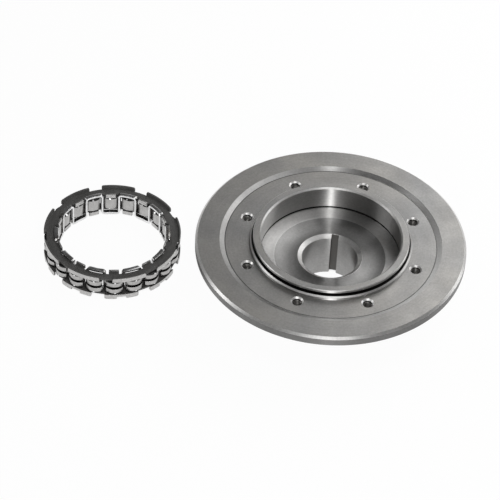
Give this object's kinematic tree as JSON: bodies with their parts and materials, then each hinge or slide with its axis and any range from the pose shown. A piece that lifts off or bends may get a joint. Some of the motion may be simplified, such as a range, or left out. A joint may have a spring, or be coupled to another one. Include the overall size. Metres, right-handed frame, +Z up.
{
  "type": "starter clutch",
  "caption": "Turned steel flange hub with a bearing recess, keyed shaft bore and ring of tapped holes, set beside its loose one-way sprag bearing that locks in one direction.",
  "frame": {"origin": "on the shaft bore's axis, at the hub's end face, which stands on the bench", "axes": "+Z up along the shaft bore towards the open recess, +X to the right with the bearing on the -X side"},
  "size_m": [0.2256, 0.144, 0.041],
  "materials": {
    "turned_steel": "turned, partly ground",
    "phosphated_steel": "matt phosphate",
    "strip_steel": "bright rolled",
    "sprag_steel": "satin hardened",
    "spring_steel": "dark oiled"
  },
  "bodies": {
    "flange": {"flange_hub": "turned_steel"},
    "cage": {"upper_side_plate": "phosphated_steel", "lower_side_plate": "phosphated_steel", "separator_strip": "strip_steel", "garter_spring": "spring_steel"},
    "sprag_01": {"sprag_01": "sprag_steel"},
    "sprag_02": {"sprag_02": "sprag_steel"},
    "sprag_03": {"sprag_03": "sprag_steel"},
    "sprag_04": {"sprag_04": "sprag_steel"},
    "sprag_05": {"sprag_05": "sprag_steel"},
    "sprag_06": {"sprag_06": "sprag_steel"},
    "sprag_07": {"sprag_07": "sprag_steel"},
    "sprag_08": {"sprag_08": "sprag_steel"},
    "sprag_09": {"sprag_09": "sprag_steel"},
    "sprag_10": {"sprag_10": "sprag_steel"},
    "sprag_11": {"sprag_11": "sprag_steel"},
    "sprag_12": {"sprag_12": "sprag_steel"},
    "sprag_13": {"sprag_13": "sprag_steel"},
    "sprag_14": {"sprag_14": "sprag_steel"},
    "sprag_15": {"sprag_15": "sprag_steel"},
    "sprag_16": {"sprag_16": "sprag_steel"},
    "sprag_17": {"sprag_17": "sprag_steel"},
    "sprag_18": {"sprag_18": "sprag_steel"},
    "sprag_19": {"sprag_19": "sprag_steel"},
    "sprag_20": {"sprag_20": "sprag_steel"}
  },
  "joints": [
    {"name": "bearing_turn", "type": "hinge", "parent": "flange", "child": "cage", "pos_m": [-0.11653, 0.02647, 0], "axis": [0, 0, 1], "continuous": true},
    {"name": "sprag_01_tilt", "type": "hinge", "parent": "cage", "child": "sprag_01", "pos_m": [-0.11855, 0.05946, 0.0074], "axis": [0, 0, 1], "range_deg": [-4, 5]},
    {"name": "sprag_02_tilt", "type": "hinge", "parent": "cage", "child": "sprag_02", "pos_m": [-0.12864, 0.05722, 0.0074], "axis": [0, 0, 1], "range_deg": [-4, 5]},
    {"name": "sprag_03_tilt", "type": "hinge", "parent": "cage", "child": "sprag_03", "pos_m": [-0.13755, 0.05197, 0.0074], "axis": [0, 0, 1], "range_deg": [-4, 5]},
    {"name": "sprag_04_tilt", "type": "hinge", "parent": "cage", "child": "sprag_04", "pos_m": [-0.1444, 0.04423, 0.0074], "axis": [0, 0, 1], "range_deg": [-4, 5]},
    {"name": "sprag_05_tilt", "type": "hinge", "parent": "cage", "child": "sprag_05", "pos_m": [-0.14852, 0.03475, 0.0074], "axis": [0, 0, 1], "range_deg": [-4, 5]},
    {"name": "sprag_06_tilt", "type": "hinge", "parent": "cage", "child": "sprag_06", "pos_m": [-0.14951, 0.02446, 0.0074], "axis": [0, 0, 1], "range_deg": [-4, 5]},
    {"name": "sprag_07_tilt", "type": "hinge", "parent": "cage", "child": "sprag_07", "pos_m": [-0.14728, 0.01436, 0.0074], "axis": [0, 0, 1], "range_deg": [-4, 5]},
    {"name": "sprag_08_tilt", "type": "hinge", "parent": "cage", "child": "sprag_08", "pos_m": [-0.14203, 0.00546, 0.0074], "axis": [0, 0, 1], "range_deg": [-4, 5]},
    {"name": "sprag_09_tilt", "type": "hinge", "parent": "cage", "child": "sprag_09", "pos_m": [-0.13428, -0.00139, 0.0074], "axis": [0, 0, 1], "range_deg": [-4, 5]},
    {"name": "sprag_10_tilt", "type": "hinge", "parent": "cage", "child": "sprag_10", "pos_m": [-0.1248, -0.00552, 0.0074], "axis": [0, 0, 1], "range_deg": [-4, 5]},
    {"name": "sprag_11_tilt", "type": "hinge", "parent": "cage", "child": "sprag_11", "pos_m": [-0.11451, -0.00651, 0.0074], "axis": [0, 0, 1], "range_deg": [-4, 5]},
    {"name": "sprag_12_tilt", "type": "hinge", "parent": "cage", "child": "sprag_12", "pos_m": [-0.10442, -0.00427, 0.0074], "axis": [0, 0, 1], "range_deg": [-4, 5]},
    {"name": "sprag_13_tilt", "type": "hinge", "parent": "cage", "child": "sprag_13", "pos_m": [-0.09551, 0.00098, 0.0074], "axis": [0, 0, 1], "range_deg": [-4, 5]},
    {"name": "sprag_14_tilt", "type": "hinge", "parent": "cage", "child": "sprag_14", "pos_m": [-0.08866, 0.00872, 0.0074], "axis": [0, 0, 1], "range_deg": [-4, 5]},
    {"name": "sprag_15_tilt", "type": "hinge", "parent": "cage", "child": "sprag_15", "pos_m": [-0.08454, 0.0182, 0.0074], "axis": [0, 0, 1], "range_deg": [-4, 5]},
    {"name": "sprag_16_tilt", "type": "hinge", "parent": "cage", "child": "sprag_16", "pos_m": [-0.08355, 0.02849, 0.0074], "axis": [0, 0, 1], "range_deg": [-4, 5]},
    {"name": "sprag_17_tilt", "type": "hinge", "parent": "cage", "child": "sprag_17", "pos_m": [-0.08579, 0.03859, 0.0074], "axis": [0, 0, 1], "range_deg": [-4, 5]},
    {"name": "sprag_18_tilt", "type": "hinge", "parent": "cage", "child": "sprag_18", "pos_m": [-0.09103, 0.04749, 0.0074], "axis": [0, 0, 1], "range_deg": [-4, 5]},
    {"name": "sprag_19_tilt", "type": "hinge", "parent": "cage", "child": "sprag_19", "pos_m": [-0.09878, 0.05434, 0.0074], "axis": [0, 0, 1], "range_deg": [-4, 5]},
    {"name": "sprag_20_tilt", "type": "hinge", "parent": "cage", "child": "sprag_20", "pos_m": [-0.10826, 0.05847, 0.0074], "axis": [0, 0, 1], "range_deg": [-4, 5]}
  ],
  "couplings": [
    {"joint": "sprag_02_tilt", "follows": "sprag_01_tilt", "ratio": 1},
    {"joint": "sprag_03_tilt", "follows": "sprag_01_tilt", "ratio": 1},
    {"joint": "sprag_04_tilt", "follows": "sprag_01_tilt", "ratio": 1},
    {"joint": "sprag_05_tilt", "follows": "sprag_01_tilt", "ratio": 1},
    {"joint": "sprag_06_tilt", "follows": "sprag_01_tilt", "ratio": 1},
    {"joint": "sprag_07_tilt", "follows": "sprag_01_tilt", "ratio": 1},
    {"joint": "sprag_08_tilt", "follows": "sprag_01_tilt", "ratio": 1},
    {"joint": "sprag_09_tilt", "follows": "sprag_01_tilt", "ratio": 1},
    {"joint": "sprag_10_tilt", "follows": "sprag_01_tilt", "ratio": 1},
    {"joint": "sprag_11_tilt", "follows": "sprag_01_tilt", "ratio": 1},
    {"joint": "sprag_12_tilt", "follows": "sprag_01_tilt", "ratio": 1},
    {"joint": "sprag_13_tilt", "follows": "sprag_01_tilt", "ratio": 1},
    {"joint": "sprag_14_tilt", "follows": "sprag_01_tilt", "ratio": 1},
    {"joint": "sprag_15_tilt", "follows": "sprag_01_tilt", "ratio": 1},
    {"joint": "sprag_16_tilt", "follows": "sprag_01_tilt", "ratio": 1},
    {"joint": "sprag_17_tilt", "follows": "sprag_01_tilt", "ratio": 1},
    {"joint": "sprag_18_tilt", "follows": "sprag_01_tilt", "ratio": 1},
    {"joint": "sprag_19_tilt", "follows": "sprag_01_tilt", "ratio": 1},
    {"joint": "sprag_20_tilt", "follows": "sprag_01_tilt", "ratio": 1}
  ]
}
